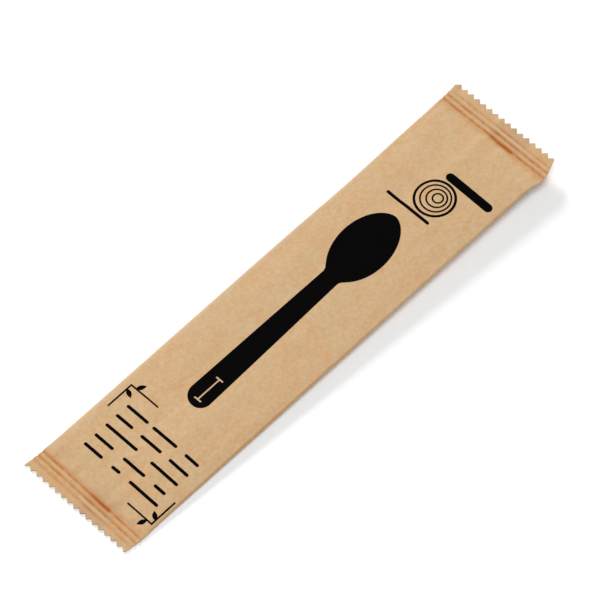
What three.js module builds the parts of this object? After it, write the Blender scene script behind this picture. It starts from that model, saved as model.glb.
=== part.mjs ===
// A wooden spoon sealed in a kraft paper sachet, lying on the sachet's folded back seam.
//
// Millimetres. X runs from the handle end to the bowl end, Y across, Z up from the table.
// The origin is on the table, under the middle of the sachet.
//
// The sachet is one sheet of paper folded into a flat tube. Its two long edges are joined in a
// fin that is folded down against the back, and each end is crimped shut and cut with a zigzag.
// Nothing of the inside can be seen, so sachet and spoon are one solid.

import * as THREE from 'three';
import { mergeVertices } from 'three/addons/utils/BufferGeometryUtils.js';

// Driving dimensions

const LENGTH = 202; // from zigzag tip to zigzag tip
const FLAT_WIDTH = 45.6; // of the flattened tube, at the end seals
const DRAWN_IN = 0.1; // the sides draw in by this share of the pillow's thickness

const TOOTH_PITCH = 2.8;
const TOOTH_HEIGHT = TOOTH_PITCH / 2; // the teeth are square-cornered
const TEETH = 16; // across each end

const HANDLE = {
  seal: 7.5, // from the seal's inner crimp line to the zigzag tips
  sealHeight: 0.45, // of the seal's mid-plane above the table
  crest: 2.2, // height of the pillow over the spoon's handle
  rise: 20, // length over which the pillow's top rises from the seal
  backRise: 13, // length over which the back comes down from the seal to the table
  toothShift: -0.2, // of the tooth row towards +Y
  cornerInset: { right: 1.0, left: 0 }, // how far each outer corner is drawn in
};
const BOWL = {
  seal: 8.2,
  sealHeight: 4.6,
  crest: 6.0,
  rise: 17,
  backRise: 26,
  toothShift: 1.0,
  cornerInset: { right: 2.5, left: 0 },
};
const SWELL = { from: -85, to: 85 }; // the X between which the crest climbs from one to the other

const CRIMP_PITCH = 2.1; // between the crimp lines of an end seal
const CRIMP_DEPTH = 0.5; // from ridge to groove
const CRIMP_LINES = 3;

const SKIN = 0.6; // thickness kept at the side folds and the end seals
const SHOULDER = 8; // exponent of the cross-section: higher is flatter on top
const FOLD_ROUNDING = 0.5; // exponent that rounds the section off at the side folds
const FLAT_SHARE = 0.6; // of the half width that lies flat on the table
const BODY_STEP = 8; // longest facet along the body

const FIN_THICKNESS = 0.35; // of the folded seam on the back
const FIN_SHADE = 6; // past its free edge, the back comes down again over this width
const CREASE = 0.15; // half width of the crease at the fin's root, in columns
const FREE_EDGE = 0.05; // width of the step at its free edge, in columns

const KRAFT = { color: 0xd6b286, roughness: 0.85, metalness: 0 };

const HALF_LENGTH = LENGTH / 2;
const HALF_TOOTH = TOOTH_PITCH / 2;
const HANDLE_LINE = HANDLE.seal - HALF_LENGTH; // X of the inner crimp lines
const BOWL_LINE = HALF_LENGTH - BOWL.seal;

// Columns run along the sachet, one for each tooth tip and valley. They are counted from the
// centre line, so an odd column ends in a tip, and the side fold is one column past the last tip.
const LAST_TIP = TEETH - 1;
const SIDE_FOLD = LAST_TIP + 1;
const FIN_ROOT = 1; // the columns where the back seam is folded and where it ends
const FIN_EDGE = -7;

// Small helpers

const clamp = (t, low, high) => Math.min(high, Math.max(low, t));
const lerp = (a, b, t) => a + (b - a) * t;

function smooth(t) {
  const c = clamp(t, 0, 1);
  return c * c * (3 - 2 * c);
}

// The end that a station belongs to, and how far outside its inner crimp line the station is.
// That distance is negative along the body.
function endOf(x) {
  const end = x < 0 ? HANDLE : BOWL;
  const outside = x < 0 ? HANDLE_LINE - x : x - BOWL_LINE;
  return { end, outside };
}

// Heights along the sachet

function sealHeight(x) {
  return lerp(HANDLE.sealHeight, BOWL.sealHeight, (x + HALF_LENGTH) / LENGTH);
}

// How high the pillow's crest stands above its side folds.
function crestHeight(x) {
  const { end, outside } = endOf(x);
  const climbed = smooth((x - SWELL.from) / (SWELL.to - SWELL.from));
  const top = lerp(HANDLE.crest, BOWL.crest, climbed);
  return (top - sealHeight(x)) * smooth(-outside / end.rise);
}

function crimp(x) {
  const { outside } = endOf(x);
  const span = CRIMP_LINES * CRIMP_PITCH;
  if (outside < 0 || outside > span) return 0;
  const wave = -Math.cos((2 * Math.PI * outside) / CRIMP_PITCH);
  return (CRIMP_DEPTH / 2) * wave * (1 - outside / span);
}

// Outline

function foldY(x, side) {
  const { end, outside } = endOf(x);
  const half = FLAT_WIDTH / 2 - DRAWN_IN * crestHeight(x);
  const inset = side < 0 ? end.cornerInset.right : end.cornerInset.left;
  return side * (half - inset * smooth((outside - CRIMP_PITCH) / (end.seal - CRIMP_PITCH)));
}

function columnY(column, x) {
  const { end, outside } = endOf(x);
  const tooth = clamp(column, -LAST_TIP, LAST_TIP) * HALF_TOOTH;
  const relaxed = (tooth * foldY(x, 1)) / (FLAT_WIDTH / 2);
  const y = lerp(relaxed, tooth + end.toothShift, clamp(outside / end.seal, 0, 1));
  const beyond = Math.abs(column) - LAST_TIP;
  return beyond > 0 ? lerp(y, foldY(x, Math.sign(column)), beyond) : y;
}

function columns() {
  const list = [-SIDE_FOLD, 0.5 - SIDE_FOLD, SIDE_FOLD - 0.5, SIDE_FOLD];
  for (let column = -LAST_TIP; column <= LAST_TIP; column++) list.push(column);
  list.push(FIN_ROOT - CREASE, FIN_ROOT + CREASE, FIN_EDGE - FREE_EDGE);
  return list.sort((a, b) => a - b);
}

// Each crimp line, each ridge between two lines, and the zigzag tips.
function sealStations(line, outwards, seal) {
  const list = [];
  for (let half = 0; half < 2 * CRIMP_LINES - 1; half++) {
    list.push(line + (outwards * half * CRIMP_PITCH) / 2);
  }
  list.push(line + outwards * seal);
  return list;
}

// Places along X. The first and the last are the zigzag tips.
function stations() {
  const body = BOWL_LINE - HANDLE_LINE;
  const steps = Math.ceil(body / BODY_STEP);
  const inside = [];
  for (let i = 1; i < steps; i++) inside.push(HANDLE_LINE + (body * i) / steps);
  const handleEnd = sealStations(HANDLE_LINE, -1, HANDLE.seal).reverse();
  return [...handleEnd, ...inside, ...sealStations(BOWL_LINE, 1, BOWL.seal)];
}

// Surfaces

function foldShare(x, y) {
  return clamp(Math.abs(y / foldY(x, Math.sign(y) || 1)), 0, 1);
}

function frontZ(x, y) {
  const section = (1 - foldShare(x, y) ** SHOULDER) ** FOLD_ROUNDING;
  const aboveSkin = Math.max(0, crestHeight(x) - SKIN / 2);
  return sealHeight(x) + SKIN / 2 + crimp(x) + aboveSkin * section;
}

// The side that faces the table, as if it had no fin.
function undersideZ(x, y) {
  const { end, outside } = endOf(x);
  const onTable = smooth(-outside / end.backRise);
  const lifted = clamp((foldShare(x, y) - FLAT_SHARE) / (1 - FLAT_SHARE), 0, 1);
  return (sealHeight(x) - SKIN / 2) * (1 - onTable * (1 - lifted ** 2)) + crimp(x);
}

// The fin lies on the table, with a crease at its root. Past its free edge the back panel shows,
// one fin thickness higher, and comes down again towards the side fold.
function finRelief(column) {
  if (column === FIN_ROOT) return FIN_THICKNESS;
  if (column >= FIN_EDGE) return 0;
  const past = ((FIN_EDGE - column) * HALF_TOOTH) / FIN_SHADE;
  return FIN_THICKNESS * (1 - clamp(past, 0, 1));
}

// How far the zigzag edge lies inside the tips, at a column.
function toothDrop(column) {
  return TOOTH_HEIGHT * Math.abs((Math.abs(column) % 2) - 1);
}

// The closed skin: a box with one facet for each station and column, drawn into shape.
function sachetGeometry() {
  const along = stations();
  const across = columns();
  const lastStation = along.length - 1;
  const lastColumn = across.length - 1;
  const box = new THREE.BoxGeometry(lastStation, lastColumn, 1, lastStation, lastColumn, 1);
  const position = box.getAttribute('position');
  for (let i = 0; i < position.count; i++) {
    const station = Math.round(position.getX(i) + lastStation / 2);
    const column = across[Math.round(position.getY(i) + lastColumn / 2)];
    const isEnd = station === 0 || station === lastStation;
    const nominal = along[station];
    const x = isEnd ? nominal - Math.sign(nominal) * toothDrop(column) : nominal;
    const y = columnY(column, nominal);
    const z = position.getZ(i) > 0 ? frontZ(x, y) : undersideZ(x, y) + finRelief(column);
    position.setXYZ(i, x, y, z);
  }
  box.deleteAttribute('normal');
  box.deleteAttribute('uv');
  const skin = mergeVertices(box, 1e-4);
  skin.computeVertexNormals();
  return skin;
}

const sachet = new THREE.Mesh(sachetGeometry(), new THREE.MeshStandardMaterial(KRAFT));
sachet.name = 'spoon_sachet';

const part = new THREE.Group();
part.add(sachet);

export default part;
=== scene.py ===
"""The looks of a wooden spoon sealed in a printed kraft paper sachet.

Lengths are in millimetres until a mesh is made. X runs from the handle end to the bowl end,
Y across the sachet and Z up from the table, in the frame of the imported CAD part. The paper's
shape is a set of numpy functions of x and y, which both the paper and the print on it use.
"""

import math
from dataclasses import dataclass

import bpy
import numpy as np
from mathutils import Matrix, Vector
from mathutils.geometry import delaunay_2d_cdt


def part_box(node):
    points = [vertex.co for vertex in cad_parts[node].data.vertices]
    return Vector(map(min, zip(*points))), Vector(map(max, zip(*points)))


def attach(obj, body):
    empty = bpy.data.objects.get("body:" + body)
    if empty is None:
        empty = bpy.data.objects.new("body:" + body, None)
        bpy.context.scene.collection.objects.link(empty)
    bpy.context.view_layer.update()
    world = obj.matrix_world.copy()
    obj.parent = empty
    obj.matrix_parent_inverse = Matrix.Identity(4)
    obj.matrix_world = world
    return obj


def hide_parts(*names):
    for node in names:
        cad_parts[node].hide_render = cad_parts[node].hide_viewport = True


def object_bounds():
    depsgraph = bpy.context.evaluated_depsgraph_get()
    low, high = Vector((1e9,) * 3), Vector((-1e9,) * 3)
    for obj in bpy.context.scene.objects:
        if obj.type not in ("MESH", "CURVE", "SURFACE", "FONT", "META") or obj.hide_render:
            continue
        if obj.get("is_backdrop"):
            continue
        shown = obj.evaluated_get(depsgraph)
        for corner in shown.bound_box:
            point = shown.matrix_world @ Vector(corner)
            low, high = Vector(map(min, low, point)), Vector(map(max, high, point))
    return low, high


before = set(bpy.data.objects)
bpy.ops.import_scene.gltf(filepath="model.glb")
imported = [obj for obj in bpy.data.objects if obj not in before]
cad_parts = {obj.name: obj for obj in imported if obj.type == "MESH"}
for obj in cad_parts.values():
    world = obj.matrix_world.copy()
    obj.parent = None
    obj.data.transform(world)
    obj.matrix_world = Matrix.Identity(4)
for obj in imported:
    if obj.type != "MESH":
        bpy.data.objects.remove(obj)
CAD_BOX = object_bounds()

# Driving dimensions

MM = 0.001
LOW, HIGH = (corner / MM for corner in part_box("spoon_sachet"))
LENGTH = HIGH.x - LOW.x
HALF_LENGTH = LENGTH / 2
HALF_WIDTH = (HIGH.y - LOW.y) / 2


@dataclass(frozen=True)
class End:
    """One end of the sachet. Left is +Y and right is -Y."""

    seal: float  # from the inner crimp line to the zigzag tips
    height: float  # of the seal's mid-plane above the table
    rise: float  # length over which the crown rises from the seal
    back_rise: float  # length over which the back comes down to the table
    crown: float  # height of the crest above the side walls
    facet: float  # how far the right side falls away outside its soft crease
    tooth_shift: float  # of the tooth row towards +Y
    inset_right: float  # how far the right corner is cut in
    flare_left: float  # how far the left corner spreads
    spread_right: float  # how far each side of the flat seal reaches past the body
    spread_left: float
    streak_from: float  # the Y between which the inner crimp line is scorched
    streak_to: float
    streak_shift: float  # outwards from that line
    browned: float  # how much the jaws browned the whole seal
    shade_over_fin_to: float  # how far inside the seal the paper over the fin is darkened with painted shade


HANDLE = End(
    seal=7.5,
    height=0.22,
    rise=20,
    back_rise=13,
    crown=0.45,
    facet=0.3,
    tooth_shift=-0.45,
    inset_right=0.8,
    flare_left=0.5,
    spread_right=0.0,
    spread_left=0.1,
    streak_from=-9.0,
    streak_to=1.6,
    streak_shift=0.1,
    browned=0.09,
    shade_over_fin_to=6,
)
BOWL = End(
    seal=8.2,
    height=4.8,
    rise=17,
    back_rise=26,
    crown=0.6,
    facet=0.0,
    tooth_shift=0.7,
    inset_right=2.85,
    flare_left=0.3,
    spread_right=0.6,
    spread_left=0.05,
    streak_from=-9.5,
    streak_to=2.2,
    streak_shift=-0.2,
    browned=0.07,
    shade_over_fin_to=1,
)
WALL = 0.45  # height of the rounded side walls
ROUNDING = 0.55  # and their width
FACET_WIDTH = 4.4
DRAWN_IN = 0.1  # the sides draw in by this share of the pillow's thickness
WALL_RISE = 9  # length over which the side walls grow from a seal
NOTCH = 0.14  # the crimp lines nip the side folds by this much
NOTCH_WIDTH = 0.5
SPREAD_LENGTH = 7  # over which the sides come in again from the flat seal's spread
NARROWER_RIGHT = 0.13  # the right side lies this much further in along the body
WAIST_LEFT = 0.35  # depth, middle and length of a shallow waist in the left side
WAIST_MIDDLE = 46
WAIST_LENGTH = 20

TOOTH_PITCH = 2.8
HALF_TOOTH = TOOTH_PITCH / 2
LAST_TIP = 15  # counted in half teeth from the centre line, so that a tip has an odd number
SIDE_FOLD = LAST_TIP + 1
TEETH_START = 4.9  # outside the inner crimp line, where the paper starts to follow the zigzag

CRIMP_PITCH = 2.1
CRIMP_WIDTH = 0.42  # half width of a groove
CRIMP_RIDGE = 0.07  # height of the paper between two grooves
LINE_TILT = 0.018  # how much the handle's crimp lines turn, about a point at this Y
LINE_PIVOT = 8
CRIMP_DEPTHS = (0.24, 0.22, 0.12)  # the inner line first

SKIN = 0.3  # thickness of the flat seals
EDGE_BULGE = 0.14  # how far a side fold is rounded outwards
FLAT_SHARE = 0.72  # of the half width that lies flat on the table

FIN_ROOT = 1  # columns of the fin's fold and of its free edge
FIN_EDGE = -7
FIN_THICKNESS = 0.3
FIN_SHADE = 6  # the width over which the back comes down again past the free edge
FIN_ROUNDING = 0.6  # columns over which the back panel climbs onto the fin
FIN_GAP = 0.05  # between the fin and the back panel
FIN_TILT = 0.012  # how far the fin's imprint drifts to +Y, for each millimetre along X

CREASES = (  # start, end, height of the ridge, half width
    ((-86, -17.5), (-34, -12.3), 0.07, 1.2),
    ((-58, 7.0), (-12, 8.0), -0.06, 1.4),
    ((-67, 2.6), (-46, 0.6), 0.07, 1.1),
    ((43, 3.4), (78, 2.8), 0.05, 1.0),
    ((-90, -3.5), (-62, -6.5), -0.06, 1.6),
    ((-60, 11.0), (-30, 12.0), 0.04, 1.5),
)

INK_RISE = 0.04  # of the ink's top above the paper
INK_SINK = 0.05  # of the ink's underside below it

rng = np.random.default_rng(7)


# Small helpers


def lerp(a, b, t):
    return a + (b - a) * t


def smooth(t):
    c = np.clip(t, 0, 1)
    return c * c * (3 - 2 * c)


def peak(distance, width):
    return np.exp(-((distance / width) ** 2))


def by_end(x, name):
    return np.where(x < 0, getattr(HANDLE, name), getattr(BOWL, name))


def along(x, name):
    """A property that changes evenly from the handle end to the bowl end."""
    return lerp(getattr(HANDLE, name), getattr(BOWL, name), (x + HALF_LENGTH) / LENGTH)


def outside(x):
    """How far x is outside its inner crimp line. It is negative along the body."""
    return np.abs(x) - HALF_LENGTH + by_end(x, "seal")


def wander(t, wavelengths, phases):
    """A smooth irregular wave of t, about -1 to 1."""
    waves = [np.sin(2 * math.pi * t / w + p) for w, p in zip(wavelengths, phases)]
    return sum(waves) / math.sqrt(2 * len(waves)) * 1.2


# Outline and columns


def fold_y(x, side):
    """Y of the side fold: the corners are cut in or spread, and the crimp lines nip it."""
    half = HALF_WIDTH - DRAWN_IN * pillow(x, 0)
    inset = np.where(side < 0, by_end(x, "inset_right"), -by_end(x, "flare_left"))
    corner_start = CRIMP_PITCH / 2
    cut = np.clip((outside(x) - corner_start) / (by_end(x, "seal") - corner_start), 0, 1)
    lines = range(len(CRIMP_DEPTHS))
    nips = sum(peak(outside(x) - i * CRIMP_PITCH, NOTCH_WIDTH) for i in lines)
    spread = np.where(side < 0, by_end(x, "spread_right"), by_end(x, "spread_left"))
    spread = spread * smooth(outside(x) / SPREAD_LENGTH + 1)
    body = smooth(-outside(x) / 6)
    waist = WAIST_LEFT * peak(x - WAIST_MIDDLE, WAIST_LENGTH)
    narrower = np.where(side < 0, NARROWER_RIGHT * body, waist)
    return side * (half + spread - narrower - inset * cut - NOTCH * nips)


def column_y(column, x):
    tooth = np.clip(column, -LAST_TIP, LAST_TIP) * HALF_TOOTH
    relaxed = tooth * fold_y(x, 1) / HALF_WIDTH
    in_seal = np.clip(outside(x) / by_end(x, "seal"), 0, 1)
    y = lerp(relaxed, tooth + by_end(x, "tooth_shift"), in_seal)
    beyond = np.maximum(np.abs(column) - LAST_TIP, 0)
    return lerp(y, fold_y(x, np.sign(column)), beyond)


def zigzag_x(column, x):
    """Moves x back from the straight line of the tips to the cut edge of that column."""
    at_tips = column_y(column, np.sign(x) * HALF_LENGTH) - by_end(x, "tooth_shift")
    drop = HALF_TOOTH * np.abs(np.abs(at_tips / HALF_TOOTH) % 2 - 1)
    room = by_end(x, "seal") - TEETH_START
    return x - np.sign(x) * drop * np.clip((outside(x) - TEETH_START) / room, 0, 1)


# Heights


def mid_height(x):
    return along(x, "height")


def edge_share(x, y):
    half = np.abs(fold_y(x, np.where(y < 0, -1, 1)))
    return np.clip(np.abs(y) / half, 0, 1)


def pillow(x, share):
    """How far the front stands above the flat seals' level at a share of the half width."""
    inside = -outside(x)
    wall = WALL * smooth(inside / WALL_RISE)
    crown = along(x, "crown") * smooth(inside / by_end(x, "rise"))
    t = np.clip((1 - share) * HALF_WIDTH / ROUNDING, 0, 1)
    return wall * np.sqrt(1 - (1 - t) ** 2) + crown * (1 - share**2)


def facet(x, y):
    """A soft crease along the right side, outside which the front falls away a little."""
    depth = along(x, "facet") * smooth(-outside(x) / 10)
    return -depth * np.clip((-y - HALF_WIDTH + FACET_WIDTH) / FACET_WIDTH, 0, 1)


def crimp(x, y):
    """The pressed lines of the end seals."""
    distance = outside(x)
    depth = sum(
        d * peak(distance - i * CRIMP_PITCH - line_wander(x, y, i), CRIMP_WIDTH)
        for i, d in enumerate(CRIMP_DEPTHS)
    )
    ridge = CRIMP_RIDGE * np.sin(np.pi * np.clip(distance / CRIMP_PITCH, 0, 2)) ** 2
    return ridge - depth * (1 + 0.25 * wander(y, (11, 6.1, 3.7), (0.3, 1.9, 4.0)))


def line_wander(x, y, line):
    """How far outwards a crimp line strays from a straight one."""
    phases = (line + 1.0, 2 * line + 0.4, line + 2.0 + np.sign(x))
    tilt = np.where(x < 0, LINE_TILT * (LINE_PIVOT - y), 0)
    return tilt + 0.04 * wander(y, (23, 9.7, 5.3), phases)


RIPPLES = [
    (rng.uniform(15, 46), rng.normal(0, 0.5), rng.uniform(0, 6.28), rng.uniform(0.02, 0.05))
    for _ in range(12)
]


def ripple(x, y):
    """Long low waves in the paper, mostly lengthwise."""
    z = np.zeros(np.broadcast(x, y).shape)
    for wavelength, turn, phase, height in RIPPLES:
        across = y * math.cos(turn) + x * math.sin(turn) * 0.6
        z += height * np.sin(2 * math.pi * across / wavelength + phase)
    return z * smooth(-outside(x) / 12)


def puckers(x, y):
    """Short folds that run out from each seal into the body, and waves in the cut edge."""
    inside = np.maximum(-outside(x), 0)
    phases = (0.4 + np.sign(x), 2.2, 5.0)
    folds = 0.10 * wander(y, (9.1, 6.3, 4.4), phases) * np.exp(-inside / 8) * smooth(inside / 2)
    flare = 0.03 * by_end(x, "height") * wander(y, (13, 8.0, 5.1), phases)
    return folds + flare * smooth((outside(x) - 4.6) / 3)


def fin_imprint(x, y):
    """The back fin's fold shows through the front, most of all near the ends."""
    middle = 1 + FIN_TILT * x
    past_root = smooth((middle + 1.6 - y) / 2.2)
    past_edge = smooth((y + 12.5) / 4)
    near_end = smooth((np.abs(x) - 22) / 30)
    return near_end * (0.08 * past_root * past_edge + 0.09 * peak(y - middle, 2.0))


def creases(x, y):
    """Faint handling creases, each a soft ridge or groove along a straight line."""
    z = 0
    for (x0, y0), (x1, y1), height, width in CREASES:
        t = (x - x0) / (x1 - x0)
        from_line = y - lerp(y0, y1, t)
        z = z + height * peak(from_line, width) * smooth(4 * t) * smooth(4 * (1 - t))
    return z


def front_z(x, y):
    """The side that faces up."""
    share = edge_share(x, y)
    level = mid_height(x) + SKIN / 2
    quiet = smooth((1 - share) * 6)
    relief = (ripple(x, y) + fin_imprint(x, y) + creases(x, y)) * quiet + puckers(x, y)
    z = level + pillow(x, share) + facet(x, y) + crimp(x, y) + relief
    return np.maximum(z, SKIN)


def back_z(x, y):
    """The side that faces the table, as if it had no fin."""
    on_table = smooth(-outside(x) / by_end(x, "back_rise"))
    lifted = np.clip((edge_share(x, y) - FLAT_SHARE) / (1 - FLAT_SHARE), 0, 1)
    level = mid_height(x) - SKIN / 2
    z = level * (1 - on_table * (1 - lifted**2)) + crimp(x, y) + puckers(x, y) * (1 - on_table)
    return np.maximum(z, 0)


def fin_relief(column):
    """How far the back panel is held off the table by the fin under it."""
    root = smooth((FIN_ROOT + FIN_ROUNDING - column) / FIN_ROUNDING)
    past = (FIN_EDGE - column) * HALF_TOOTH / FIN_SHADE
    return (FIN_THICKNESS + FIN_GAP) * root * (1 - smooth(past))


# The paper's grid

COLUMNS_PER_HALF_TOOTH = 3
FROM_FOLD = (0, 0.04, 0.11, 0.2, 0.32, 0.46, 0.62, 0.8)  # columns near a side fold
SEAL_STEP = 0.24  # longest step along X in a seal, then near it, further off, and in the middle
NEAR_STEP = 0.35
FAR_STEP = 0.7
MIDDLE_STEP = 1.2


def columns():
    """Across the sachet, in half teeth, with more of them at the side folds."""
    last = LAST_TIP * COLUMNS_PER_HALF_TOOTH
    even = np.arange(-last, last + 1) / COLUMNS_PER_HALF_TOOTH
    fold = SIDE_FOLD - np.array(FROM_FOLD)
    return np.unique(np.concatenate([even, fold, -fold]).round(4))


def end_stations(seal):
    """Distances inwards from the tips: fine in the seal, and coarser along the body."""
    fine = np.linspace(0, seal, round(seal / SEAL_STEP) + 1)
    near = seal + np.arange(1, 13) * NEAR_STEP
    far = near[-1] + np.arange(1, 25) * FAR_STEP
    return np.concatenate([fine, near, far])


def stations():
    handle = end_stations(HANDLE.seal) - HALF_LENGTH
    bowl = HALF_LENGTH - end_stations(BOWL.seal)[::-1]
    gap = bowl[0] - handle[-1]
    count = math.ceil(gap / MIDDLE_STEP)
    middle = handle[-1] + gap * np.arange(1, count) / count
    return np.concatenate([handle, middle, bowl])


def grid(across):
    """The x, y and column of every crossing of a station and a column."""
    x, column = np.meshgrid(stations(), across, indexing="ij")
    y = column_y(column, x)
    return zigzag_x(column, x), y, column


def stack(x, y, z):
    return np.stack([x, y, z], axis=-1)


# Mesh making


def slab(top, bottom, bulge=0.0):
    """Points and faces of a closed sheet between two grids, with its long sides rounded."""
    rows, count = top.shape[:2]
    rims = []
    for side, a, b in ((1, top[:, -1], bottom[:, -1]), (-1, bottom[:, 0], top[:, 0])):
        for turn in (0.25, 0.5, 0.75):
            point = lerp(a, b, 0.5 - 0.5 * math.cos(math.pi * turn))
            point[:, 1] += side * bulge * math.sin(math.pi * turn)
            rims.append(point[:, None])
    ring = np.concatenate([top, *rims[:3], bottom[:, ::-1], *rims[3:]], axis=1)
    size = ring.shape[1]
    faces = []
    for i in range(rows - 1):
        for j in range(size):
            k = (j + 1) % size
            faces.append((i * size + j, (i + 1) * size + j, (i + 1) * size + k, i * size + k))
    for i, order in ((0, 1), (rows - 1, -1)):
        base = i * size
        under = base + 2 * count + 2
        caps = [(base + j, base + j + 1, under - j - 1, under - j) for j in range(count - 1)]
        caps.append(tuple(base + count - 1 + j for j in range(5)))
        caps.append((base, under, under + 1, under + 2, under + 3))
        faces += [cap[::order] for cap in caps]
    return ring, faces


def make_piece(name, points, faces, material):
    mesh = bpy.data.meshes.new(name)
    mesh.from_pydata((np.asarray(points).reshape(-1, 3) * MM).tolist(), [], faces)
    mesh.materials.append(material)
    mesh.shade_smooth()
    mesh.set_sharp_from_angle(angle=math.radians(50))
    piece = bpy.data.objects.new(name, mesh)
    bpy.context.scene.collection.objects.link(piece)
    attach(piece, "root")
    return piece


def add_attribute(piece, name, values):
    layer = piece.data.attributes.new(name, "FLOAT", "POINT")
    layer.data.foreach_set("value", np.ascontiguousarray(values, np.float32).ravel())


FRONT_BAND = 0.375  # share of the UV square's height for each half of the front
BACK_BAND = 0.25


def add_islands(piece, ring, count):
    """UV islands for baking: the front in two halves, and the back."""
    size = ring.shape[1]
    row_share = (ring[:, :, 0] / LENGTH + 0.5).ravel()
    across = (ring[:, :, 1] / (2 * HALF_WIDTH + 2) + 0.5).ravel()
    layer = piece.data.uv_layers.new(name="OFBake")
    loops = np.zeros(len(piece.data.loops), np.int64)
    piece.data.loops.foreach_get("vertex_index", loops)
    lengths = np.zeros(len(piece.data.polygons), np.int64)
    piece.data.polygons.foreach_get("loop_total", lengths)
    face = np.repeat(np.arange(len(lengths)), lengths)
    centre_x = np.bincount(face, row_share[loops]) / lengths
    ring_place = np.bincount(face, (loops % size).astype(float)) / lengths
    on_front = (ring_place < count + 1.5)[face]
    first_half = (centre_x < 0.5)[face]
    u_half = np.where(first_half, row_share[loops] * 2, row_share[loops] * 2 - 1)
    u = np.where(on_front, u_half, row_share[loops])
    base = np.where(on_front, np.where(first_half, 0.0, FRONT_BAND), 2 * FRONT_BAND)
    v = base + across[loops] * np.where(on_front, FRONT_BAND, BACK_BAND)
    uv = np.stack([0.01 + 0.98 * u, 0.005 + 0.985 * v], axis=1)
    layer.data.foreach_set("uv", uv.astype(np.float32).ravel())


# Materials


def new_material(name):
    material = bpy.data.materials.new(name)
    material.use_nodes = True
    tree = material.node_tree
    return material, tree, tree.nodes["Principled BSDF"]


def add_node(tree, kind, inputs=(), **settings):
    """A node with its settings, and its inputs set to values or linked to other sockets."""
    node = tree.nodes.new(kind)
    for name, value in settings.items():
        setattr(node, name, value)
    for name, value in dict(inputs).items():
        if isinstance(value, bpy.types.NodeSocket):
            tree.links.new(value, node.inputs[name])
        else:
            node.inputs[name].default_value = value
    return node


def noise(tree, where, scale, detail=3.0, roughness=0.55):
    """Noise whose largest grain is about 1 / scale, in the units of its coordinates."""
    inputs = {"Vector": where, "Scale": scale, "Detail": detail, "Roughness": roughness}
    return add_node(tree, "ShaderNodeTexNoise", inputs).outputs["Fac"]


def stretched(tree, place, turn, size):
    """Coordinates scaled along each axis, and turned about Z by degrees."""
    inputs = {"Vector": place, "Rotation": (0, 0, math.radians(turn)), "Scale": size}
    return add_node(tree, "ShaderNodeMapping", inputs, vector_type="POINT").outputs[0]


def ramp(tree, value, low, high, start=0.0, end=1.0):
    """Runs from start to end while value runs from low to high."""
    inputs = {"Value": value, "From Min": low, "From Max": high, "To Min": start, "To Max": end}
    return add_node(tree, "ShaderNodeMapRange", inputs).outputs[0]


def mix(tree, factor, a, b):
    """Colour a, turned towards colour b by factor."""
    inputs = {0: factor, 6: a, 7: b}
    return add_node(tree, "ShaderNodeMix", inputs, data_type="RGBA").outputs[2]


def attribute(tree, name):
    return add_node(tree, "ShaderNodeAttribute", attribute_name=name).outputs["Fac"]


def math_node(tree, operation, a, b):
    return add_node(tree, "ShaderNodeMath", {0: a, 1: b}, operation=operation).outputs[0]


KRAFT = (0.528, 0.345, 0.182)
# Heat browning of the seals, partly painted shade in the crimp grooves and along the right side
# fold
TOAST_AND_SHADE = (0.430, 0.145, 0.022, 1)
RUST = (0.350, 0.078, 0.003, 1)
# A pale line in the seals over the fin, and painted light along the left side fold
PALE_AND_LIT = (0.560, 0.430, 0.295, 1)
# Painted shade on the seals over the fin
SHADE_OVER_FIN_COLOUR = (0.425, 0.283, 0.156, 1)
SPECK = (0.25, 0.13, 0.06, 1)


def paper_place(tree):
    """Object coordinates in millimetres."""
    where = add_node(tree, "ShaderNodeTexCoord").outputs["Object"]
    return stretched(tree, where, 0, (1 / MM, 1 / MM, 1 / MM))


def fibre_height(tree, place):
    """The felt of the paper: fine grain and fibres that lie mostly lengthwise."""
    grain = noise(tree, place, 2.6, 4)
    fibres = noise(tree, stretched(tree, place, 8, (0.35, 2.4, 1)), 1.4, 3)
    crossing = noise(tree, stretched(tree, place, -34, (0.4, 2.2, 1)), 1.2, 3)
    both = math_node(tree, "ADD", fibres, crossing)
    return math_node(tree, "ADD", both, grain)


def tinted(*shares):
    """The kraft colour, with its red, green and blue each times a share."""
    return (*(value * share for value, share in zip(KRAFT, shares)), 1)


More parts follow.
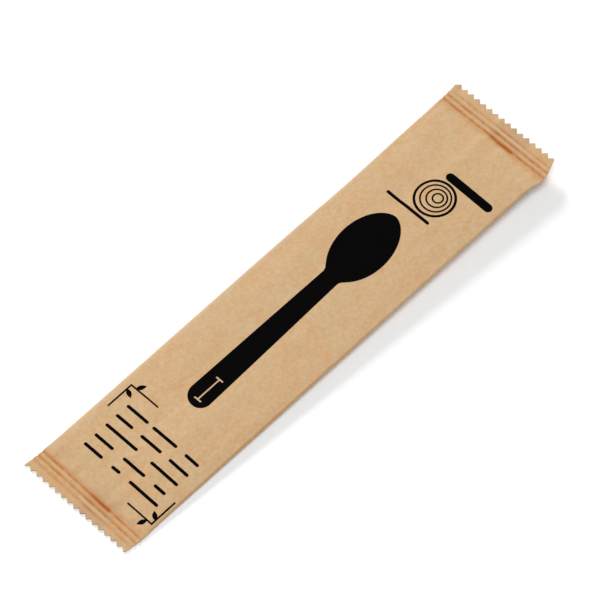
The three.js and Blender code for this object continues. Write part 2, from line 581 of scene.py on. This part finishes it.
def kraft_material():
    """Clouds, patches, grain, fibres and specks, then what the sealing jaws coloured, with
    painted shade and painted light from the crimp grooves, the fin and the side folds.
    """
    material, tree, shader = new_material("kraft_paper")
    place = paper_place(tree)
    clouds = ramp(tree, noise(tree, place, 0.2, 4, 0.6), 0.3, 0.7)
    colour = mix(tree, clouds, tinted(0.985, 0.80, 0.62), tinted(1.015, 1.20, 1.40))
    patches = ramp(tree, noise(tree, place, 0.12, 4, 0.65), 0.36, 0.64)
    patches = mix(tree, patches, tinted(1.04, 0.90, 0.80), tinted(0.965, 1.085, 1.16))
    colour = mix(tree, 0.36, colour, patches)
    grain = ramp(tree, noise(tree, place, 0.75, 4, 0.85), 0.32, 0.68)
    grain_colour = mix(tree, grain, tinted(0.81, 0.74, 0.62), tinted(1.19, 1.26, 1.38))
    colour = mix(tree, 0.5, colour, grain_colour)
    fibres = noise(tree, stretched(tree, place, 10, (0.3, 2.6, 1)), 1.1, 4, 0.65)
    colour = mix(tree, ramp(tree, fibres, 0.56, 0.72, 0, 0.4), colour, tinted(1.1, 1.13, 1.2))
    strands = noise(tree, stretched(tree, place, -28, (0.3, 2.6, 1)), 1.3, 4, 0.65)
    colour = mix(tree, ramp(tree, strands, 0.58, 0.74, 0, 0.4), colour, tinted(0.9, 0.87, 0.8))
    specks = noise(tree, place, 2.9, 2)
    colour = mix(tree, ramp(tree, specks, 0.70, 0.76, 0, 0.35), colour, SPECK)
    # Painted shade: the seals are darker over the fin
    colour = mix(tree, attribute(tree, "shade_over_fin"), colour, SHADE_OVER_FIN_COLOUR)
    # A pale line in the seals over the fin, and painted light along the left side fold
    colour = mix(tree, attribute(tree, "pale_and_lit"), colour, PALE_AND_LIT)
    # Heat browning of the seals, partly painted shade in the crimp grooves and along the right
    # side fold
    colour = mix(tree, attribute(tree, "toast_and_shade"), colour, TOAST_AND_SHADE)
    colour = mix(tree, attribute(tree, "rust"), colour, RUST)
    tree.links.new(colour, shader.inputs["Base Color"])
    rough = ramp(tree, clouds, 0, 1, 0.78, 0.9)
    tree.links.new(rough, shader.inputs["Roughness"])
    bump = add_node(
        tree,
        "ShaderNodeBump",
        {"Height": fibre_height(tree, place), "Strength": 0.35, "Distance": 0.06 * MM},
    )
    tree.links.new(bump.outputs[0], shader.inputs["Normal"])
    shader.inputs["Specular IOR Level"].default_value = 0.25
    return material


def ink_material():
    """Black ink that soaks into the paper: its grain shows faintly."""
    material, tree, shader = new_material("black_ink")
    place = paper_place(tree)
    worn = ramp(tree, noise(tree, place, 1.8, 4), 0.55, 0.8)
    colour = mix(tree, worn, (0.0012, 0.0009, 0.0009, 1), (0.003, 0.002, 0.002, 1))
    tree.links.new(colour, shader.inputs["Base Color"])
    rough = ramp(tree, noise(tree, place, 0.5), 0.3, 0.7, 0.62, 0.78)
    tree.links.new(rough, shader.inputs["Roughness"])
    bump = add_node(
        tree,
        "ShaderNodeBump",
        {"Height": fibre_height(tree, place), "Strength": 0.25, "Distance": 0.04 * MM},
    )
    tree.links.new(bump.outputs[0], shader.inputs["Normal"])
    shader.inputs["Specular IOR Level"].default_value = 0.015
    return material


# The paper

LINE_TOAST_AND_SHADE = (0.93, 0.85, 0.47)  # how brown each crimp line is, from heat browning and painted shade in its groove, the inner one first
LINE_SHIFT = 0.05  # of the brown line, outwards from its groove
LINE_CORE = 0.38  # half width of its dark core, and of the soft band round that
LINE_BAND = 0.8
RUST_WIDTH = 0.62  # half width of the scorched streak
OVER_FIN = (-12, 4)  # the Y between which the fin backs the front
PALE_LINE = 1.6  # crimp pitches from the inner line to the pale one
FOLD_SHADE = 0.3  # strength of the painted shade, a brown strip along the right side fold
FOLD_LIGHT = 0.45  # and of the painted light, a pale strip along the left


def scorch(x, y):
    """How much the seals, the fin and the folds colour the paper, for four colours: 0 to 1. The
    crimp lines are partly painted shade. The paper over the fin and the right fold's strip are
    painted shade, and the left fold's strip is painted light.
    """
    distance = outside(x)
    start, end = by_end(x, "streak_from"), by_end(x, "streak_to")
    in_streak = smooth((y - start) / 1.2) * smooth((end - y) / 2.4)
    toast_and_shade = by_end(x, "browned") * smooth(distance / 3 + 1) + 0.2 * peak(distance + 0.9, 0.8)
    # Each crimp line is browned by heat and darkened with painted shade of its groove
    for i, strength in enumerate(LINE_TOAST_AND_SHADE):
        offset = distance - i * CRIMP_PITCH - line_wander(x, y, i)
        uneven = 0.85 + 0.3 * wander(y, (15, 7.3, 3.1), (i + 0.7, 2.0 * i, i + np.sign(x)))
        off_line = offset - LINE_SHIFT
        line = 0.85 * peak(off_line, LINE_CORE) + 0.12 * peak(off_line, LINE_BAND)
        toast_and_shade += (strength + 0.25 * in_streak) * uneven * line
    hottest = 0.75 + 0.35 * smooth(-y / 4)
    streak_middle = line_wander(x, y, 0) + by_end(x, "streak_shift")
    rust = in_streak * hottest * peak(distance - streak_middle, RUST_WIDTH)
    over_fin = smooth((y - OVER_FIN[0]) / 3) * smooth((OVER_FIN[1] - y) / 3)
    # Painted shade: darker paper over the fin, in and near the seals
    shade_over_fin = 0.5 * over_fin * smooth(distance / by_end(x, "shade_over_fin_to") + 1)
    from_fold = (1 - edge_share(x, y)) * HALF_WIDTH
    body = smooth(-distance / 3)
    # Painted shade: a brown strip along the right side fold, on the side away from the light
    toast_and_shade += FOLD_SHADE * peak(from_fold - 0.3, 0.3) * body * (y < 0) * smooth((30 - x) / 60)
    pale_and_lit = 0.7 * over_fin * peak(distance - PALE_LINE * CRIMP_PITCH, 0.45)
    # Painted light: a pale strip along the left side fold, on the side facing the light
    pale_and_lit += FOLD_LIGHT * peak(from_fold - 0.5, 1.0) * body * (y > 0) * smooth((75 - x) / 20)
    layers = {"toast_and_shade": toast_and_shade, "rust": rust, "shade_over_fin": shade_over_fin, "pale_and_lit": pale_and_lit}
    return {name: np.clip(values, 0, 1) for name, values in layers.items()}


def colour_paper(piece, ring):
    for name, values in scorch(ring[..., 0], ring[..., 1]).items():
        add_attribute(piece, name, values)


def make_paper(material):
    across = columns()
    x, y, column = grid(across)
    top = stack(x, y, front_z(x, y))
    bottom = stack(x, y, back_z(x, y) + fin_relief(column))
    ring, faces = slab(top, bottom, EDGE_BULGE)
    paper = make_piece("kraft_sachet", ring, faces, material)
    colour_paper(paper, ring)
    add_islands(paper, ring, len(across))
    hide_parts("spoon_sachet")


def make_fin(material):
    """The joined edges of the sheet, folded down on the back."""
    across = np.linspace(FIN_EDGE, FIN_ROOT, (FIN_ROOT - FIN_EDGE) * 2 + 1)
    x, y, _ = grid(across)
    bottom = back_z(x, y)
    ring, faces = slab(stack(x, y, bottom + FIN_THICKNESS), stack(x, y, bottom), EDGE_BULGE)
    fin = make_piece("back_fin", ring, faces, material)
    colour_paper(fin, ring)


# Print


def inside_loops(points, loops):
    """Even-odd test of points against closed loops."""
    inside = np.zeros(len(points), bool)
    px, py = points[:, 0], points[:, 1]
    for loop in loops:
        for (x0, y0), (x1, y1) in zip(loop, np.roll(loop, -1, axis=0)):
            crosses = (y0 > py) != (y1 > py)
            at = x0 + (py - y0) * (x1 - x0) / np.where(y1 == y0, 1e-9, y1 - y0)
            inside ^= crosses & (px < at)
    return inside


def subdivided(loop, spacing):
    """The loop with points added, so that none of its sides is longer than spacing."""
    points = []
    for start, end in zip(loop, np.roll(loop, -1, axis=0)):
        count = math.ceil(np.linalg.norm(end - start) / spacing)
        points += [lerp(start, end, i / count) for i in range(count)]
    return np.array(points)


def ink_film(name, loops, material, spacing=0.8):
    """A thin film on the front of the paper. A loop inside another one is a gap in it."""
    loops = [subdivided(np.asarray(loop, float), spacing) for loop in loops]
    outline = np.concatenate(loops)
    edges = []
    start = 0
    for loop in loops:
        index = start + np.arange(len(loop))
        edges += list(zip(index.tolist(), np.roll(index, -1).tolist()))
        start += len(loop)
    low, high = outline.min(0), outline.max(0)
    gx, gy = np.meshgrid(*(np.arange(a + spacing / 2, b, spacing) for a, b in zip(low, high)))
    inner = np.stack([gx.ravel(), gy.ravel()], axis=1)
    inner = inner[inside_loops(inner, loops)]
    near = np.linalg.norm(inner[:, None] - outline[None], axis=2).min(1) < 0.3 * spacing
    points = np.concatenate([outline, inner[~near]])
    flat, _, faces, *_ = delaunay_2d_cdt([Vector(p) for p in points], edges, [], 0, 1e-5)
    flat = np.array(flat)
    centres = np.array([flat[list(face)].mean(0) for face in faces])
    keep = inside_loops(centres, loops)
    faces = [tuple(face) for face, kept in zip(faces, keep) if kept]
    return film_piece(name, flat, faces, material)


def film_piece(name, flat, faces, material):
    x, y = flat[:, 0], flat[:, 1]
    z = front_z(x, y)
    points = np.concatenate([stack(x, y, z + INK_RISE), stack(x, y, z - INK_SINK)])
    under = len(flat)
    used = set()
    for face in faces:
        used.update(zip(face, face[1:] + face[:1]))
    border = [(a, b) for a, b in used if (b, a) not in used]
    walls = [(a, a + under, b + under, b) for a, b in sorted(border)]
    lower = [tuple(i + under for i in face[::-1]) for face in faces]
    return make_piece(name, points, faces + lower + walls, material)


def rounded_bar(start, end, width):
    """A straight bar with round ends, between two points."""
    start, end = np.array(start, float), np.array(end, float)
    way = (end - start) / np.linalg.norm(end - start)
    side = np.array([-way[1], way[0]])
    turns = np.linspace(0, math.pi, 9)[:, None]
    cap = width / 2 * (np.cos(turns) * side - np.sin(turns) * way)
    inset = way * width / 2
    return np.concatenate([start + inset + cap, end - inset - cap])


def printed_ring(centre, radius, width, count=72):
    """The outer and the inner edge of a printed circle."""
    turns = np.linspace(0, 2 * math.pi, count, endpoint=False)
    circle = np.stack([np.cos(turns), np.sin(turns)], axis=1)
    return [centre + circle * (radius + width / 2), centre + circle * (radius - width / 2)]


def leaf(base, tip, width):
    """A pointed oval between two points."""
    base, tip = np.array(base, float), np.array(tip, float)
    way = tip - base
    side = np.array([-way[1], way[0]]) / np.linalg.norm(way)
    t = np.linspace(0, 1, 13)[:, None]
    upper = base + way * t + side * width / 2 * np.sin(np.pi * t**0.9)
    lower = base + way * t - side * width / 2 * np.sin(np.pi * t**0.9)
    return np.concatenate([upper, lower[-2:0:-1]])


SPOON_END = -48.7
SPOON_TIP = 47.8
HANDLE_HALF = 4.7  # half the handle's width near its end
NECK_HALF = 3.5
NECK = 16.4  # where the bowl starts
BOWL_MIDDLE = 32
BOWL_HALF = 9.6
SPOON_SHEAR = 0.1  # the drawing leans a little
SPOON_TURN = 0.0087
SPOON_Y = 0.7  # of its centre line, at x = 0


def spoon_outline():
    t = np.linspace(0, 1, 120)
    x = lerp(SPOON_END, SPOON_TIP, 0.5 - 0.5 * np.cos(np.pi * t))
    handle = lerp(HANDLE_HALF, NECK_HALF, (x - SPOON_END) / (NECK - SPOON_END))
    from_end = np.clip((x - SPOON_END) / HANDLE_HALF, 0, 1)
    handle *= np.sqrt(1 - (1 - from_end) ** 2)
    reach = np.where(x < BOWL_MIDDLE, BOWL_MIDDLE - NECK, SPOON_TIP - BOWL_MIDDLE)
    bowl = BOWL_HALF * np.clip(1 - (np.abs(x - BOWL_MIDDLE) / reach) ** 2, 0, 1) ** 0.55
    handle = handle * smooth((BOWL_MIDDLE - x) / 8)
    half = (handle**5 + bowl**5) ** 0.2
    x = np.concatenate([x, x[-2:0:-1]])
    y = np.concatenate([half, -half[-2:0:-1]])
    return np.stack([x + SPOON_SHEAR * y, SPOON_Y + SPOON_TURN * x + y], axis=1)


def dimension_mark(x0, x1, reach, stroke):
    """A plain dimension line with a tick at each end, as one outline."""
    h = stroke / 2
    quarter = [(x0, reach), (x0 + stroke, reach), (x0 + stroke, h)]
    half = quarter + [(x1 - stroke, h), (x1 - stroke, reach), (x1, reach)]
    return np.array(half + [(x, -y) for x, y in reversed(half)])


WORD_ROWS = {  # X of each row, and the Y where each of its bars starts and ends
    -63.1: ((14.9, 5.2), (3.2, -7.8), (-11.4, -17.5)),
    -67.9: ((15.0, 7.4), (3.8, -5.5), (-9.0, -17.6)),
    -72.6: ((15.0, 0.6), (-5.4, -17.6)),
    -77.6: ((14.9, 6.5), (2.0, -7.8), (-12.0, -17.0)),
    -82.2: ((15.1, 6.8), (2.6, -1.2), (-5.3, -18.2)),
}
WORD_HEIGHT = 1.15
BRACKETS = (  # the corner, and the X and Y where its arms end
    ((-56.8, 19.3), (-67.5, 7.1)),
    ((-87.9, -21.2), (-77.3, -10.3)),
)
BRACKET_STROKE = 0.6
LEAVES = (  # base, tip and width, two at each bracket
    ((-58.7, 19.3), (-60.4, 16.0), 1.7),
    ((-57.0, 17.2), (-53.7, 15.3), 1.7),
    ((-87.9, -19.2), (-91.2, -17.6), 1.7),
    ((-86.2, -21.2), (-84.1, -18.5), 1.7),
)
EMBLEM_CENTRE = np.array((61.8, -3.0))
EMBLEM_RADIUS = 6.9
EMBLEM_STROKE = 0.9
GROWTH_RINGS = ((5.2, 0.6, 0.2), (3.5, 0.6, 0.45), (1.8, 0.6, 0.7))  # radius, stroke, shift
MARK = (-46.2, -35.6, 1.5, 0.55)  # X of its two ends, half height of its ticks, stroke
CAPTION = ((53.2, 10.6), (53.2, -8.4), 1.15)  # two bars beside the emblem: start, end, width
LABEL = ((71.3, 0.4), (71.3, -19.6), 3.2)


def bracket(corner, ends):
    """An L of two thin arms, as one outline."""
    (cx, cy), (ex, ey) = corner, ends
    sx = BRACKET_STROKE / 2 * np.sign(ex - cx)
    sy = BRACKET_STROKE / 2 * np.sign(ey - cy)
    arm_x = [(cx - sx, cy - sy), (ex, cy - sy), (ex, cy + sy), (cx + sx, cy + sy)]
    arm_y = [(cx + sx, ey), (cx - sx, ey)]
    return np.array(arm_x + arm_y)


def make_print(material):
    ink_film("printed_spoon", [spoon_outline(), dimension_mark(*MARK)], material)
    bars = [
        rounded_bar((x, start), (x, end), WORD_HEIGHT)
        for x, words in WORD_ROWS.items()
        for start, end in words
    ]
    ink_film("printed_bars", bars, material)
    leaves = [leaf(base, tip, width) for base, tip, width in LEAVES]
    for i, (corner, ends) in enumerate(BRACKETS):
        ink_film(f"printed_bracket_{i + 1}", [bracket(corner, ends)], material)
        ink_film(f"printed_leaves_{i + 1}", leaves[2 * i : 2 * i + 2], material)
    loops = printed_ring(EMBLEM_CENTRE, EMBLEM_RADIUS, EMBLEM_STROKE)
    for radius, width, shift in GROWTH_RINGS:
        loops += printed_ring(EMBLEM_CENTRE + (shift, -shift), radius, width)
    loops += [rounded_bar(*CAPTION), rounded_bar(*LABEL)]
    ink_film("printed_roundel", loops, material)


# The stage

VIEW_ELEVATION = 58.53  # degrees
VIEW_AZIMUTH = -45.74
VIEW_DISTANCE = 1559  # millimetres
VIEW_TARGET = Vector((4.98, 3.63, 0)) * MM
LENS = 286.6


def away(azimuth, elevation):
    a, e = math.radians(azimuth), math.radians(elevation)
    return Vector((math.sin(a) * math.cos(e), -math.cos(a) * math.cos(e), math.sin(e)))


def make_camera():
    data = bpy.data.cameras.new("camera")
    data.lens = LENS
    data.sensor_width = 36
    camera = bpy.data.objects.new("camera", data)
    back = away(VIEW_AZIMUTH, VIEW_ELEVATION)
    camera.location = VIEW_TARGET + back * VIEW_DISTANCE * MM
    camera.rotation_euler = back.to_track_quat("Z", "Y").to_euler()
    bpy.context.scene.collection.objects.link(camera)
    bpy.context.scene.camera = camera


def make_floor():
    material, tree, shader = new_material("white_table")
    where = add_node(tree, "ShaderNodeTexCoord").outputs["Object"]
    soft = noise(tree, where, 6)
    colour = mix(tree, soft, (0.89, 0.89, 0.89, 1), (0.91, 0.91, 0.91, 1))
    tree.links.new(colour, shader.inputs["Base Color"])
    shader.inputs["Roughness"].default_value = 0.9
    shader.inputs["Specular IOR Level"].default_value = 0.0
    mesh = bpy.data.meshes.new("table")
    corners = [(x, y, 0) for x, y in ((-2, -2), (2, -2), (2, 2), (-2, 2))]
    mesh.from_pydata(corners, [], [(0, 1, 2, 3)])
    mesh.materials.append(material)
    floor = bpy.data.objects.new("table", mesh)
    bpy.context.scene.collection.objects.link(floor)
    floor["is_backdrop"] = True


def add_light(name, kind, direction, distance=1.0, **settings):
    data = bpy.data.lights.new(name, kind)
    for key, value in settings.items():
        setattr(data, key, value)
    light = bpy.data.objects.new(name, data)
    light.location = direction * distance
    light.rotation_euler = direction.to_track_quat("Z", "Y").to_euler()
    bpy.context.scene.collection.objects.link(light)


def make_lights():
    world = bpy.data.worlds.new("white_room")
    world.use_nodes = True
    background = world.node_tree.nodes["Background"]
    background.inputs["Color"].default_value = (1, 1, 1, 1)
    background.inputs["Strength"].default_value = 0.3
    bpy.context.scene.world = world
    add_light("softbox", "AREA", away(-20, 78), 1.5, energy=16.3, size=1.2)
    add_light("low_sun", "SUN", away(160, 20), energy=3.1, angle=math.radians(15))


make_camera()
make_floor()
make_lights()
kraft = kraft_material()
make_paper(kraft)
make_fin(kraft)
make_print(ink_material())
bpy.context.scene.view_settings.view_transform = "Standard"

boxes = {"cad": CAD_BOX, "visual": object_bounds()}
{name: [list(corner) for corner in box] for name, box in boxes.items()}
